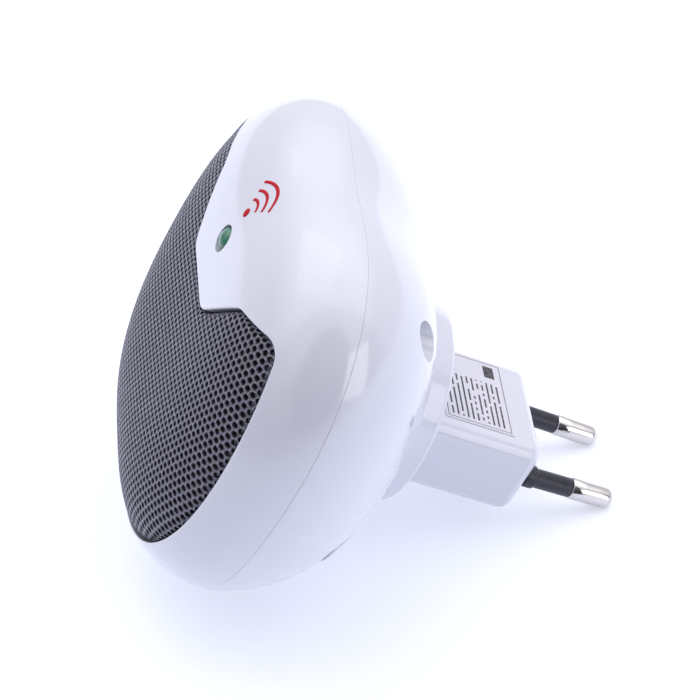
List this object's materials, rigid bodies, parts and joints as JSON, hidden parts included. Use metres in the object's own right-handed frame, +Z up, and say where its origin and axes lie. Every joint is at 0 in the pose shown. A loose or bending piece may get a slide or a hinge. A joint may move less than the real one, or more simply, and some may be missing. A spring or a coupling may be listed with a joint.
{
  "type": "plug-in ultrasonic pest repeller",
  "caption": "Wall-plug ultrasonic pest repeller: rounded white case, dark perforated speaker grille in front, green indicator, plug block with sleeved pins behind.",
  "frame": {"origin": "middle of the plug's end face, halfway between the two pins", "axes": "+Z up on a wall socket, -Y the front with the speaker grille, +Y into the socket, X across the two pins"},
  "size_m": [0.0908, 0.091, 0.0777],
  "materials": {
    "case_plastic": "glossy white ABS, faintly lavender",
    "grille_paint": "perforated sheet, satin black-grey paint",
    "baffle_plastic": "black ABS",
    "led_lens": "green tinted clear epoxy",
    "tinned_wire": "tinned leads",
    "label_paper": "white film label with grey print",
    "pin_nickel": "polished nickel plate",
    "sleeve_plastic": "black PVC sleeve",
    "wire_brown": "brown PVC insulation",
    "wire_blue": "blue PVC insulation",
    "wire_red": "red PVC insulation",
    "wire_black": "black PVC insulation",
    "speaker_plastic": "black ABS",
    "gasket_foam": "closed-cell foam",
    "cone_paper": "doped black paper",
    "piezo_brass": "rolled brass disc",
    "piezo_ceramic": "silvered ceramic",
    "zinc_steel": "zinc-plated steel",
    "black_steel": "black oxide steel",
    "board_green": "green solder mask on glass-epoxy",
    "film_yellow": "yellow film-capacitor box",
    "chip_black": "moulded black epoxy",
    "resistor_brown": "flameproof brown coating",
    "resistor_blue": "blue metal-film coating",
    "varistor_blue": "blue epoxy dip",
    "can_sleeve": "dark shrink sleeve",
    "coil_copper": "enamelled copper on a ferrite core",
    "diode_glass": "red glass body",
    "disc_orange": "orange ceramic dip"
  },
  "bodies": {
    "root": {"front_shell": "case_plastic", "rear_shell": "case_plastic", "speaker_grille": "grille_paint", "baffle_plate": "baffle_plastic", "status_led": "led_lens", "led_leads": "tinned_wire", "plug_housing": "case_plastic", "rating_label": "label_paper", "plug_pin_left": "pin_nickel", "plug_pin_right": "pin_nickel", "pin_sleeve_left": "sleeve_plastic", "pin_sleeve_right": "sleeve_plastic", "mains_wire_live": "wire_brown", "mains_wire_neutral": "wire_blue", "speaker_frame": "speaker_plastic", "speaker_gasket": "gasket_foam", "speaker_cone": "cone_paper", "piezo_plate": "piezo_brass", "piezo_ceramic": "piezo_ceramic", "speaker_cover": "speaker_plastic", "speaker_screws": "black_steel", "speaker_wire_red": "wire_red", "speaker_wire_black": "wire_black", "baffle_screws": "zinc_steel", "main_board": "board_green", "board_screws": "zinc_steel", "case_screws": "zinc_steel", "mains_capacitor": "film_yellow", "bridge_rectifier": "chip_black", "fuse_resistor": "resistor_brown", "varistor": "varistor_blue", "storage_capacitor": "can_sleeve", "output_capacitor": "can_sleeve", "drive_coil": "coil_copper", "controller_chip": "chip_black", "drive_transistors": "chip_black", "zener_diode": "diode_glass", "board_resistors": "resistor_blue", "ceramic_capacitors": "disc_orange"}
  },
  "joints": []
}
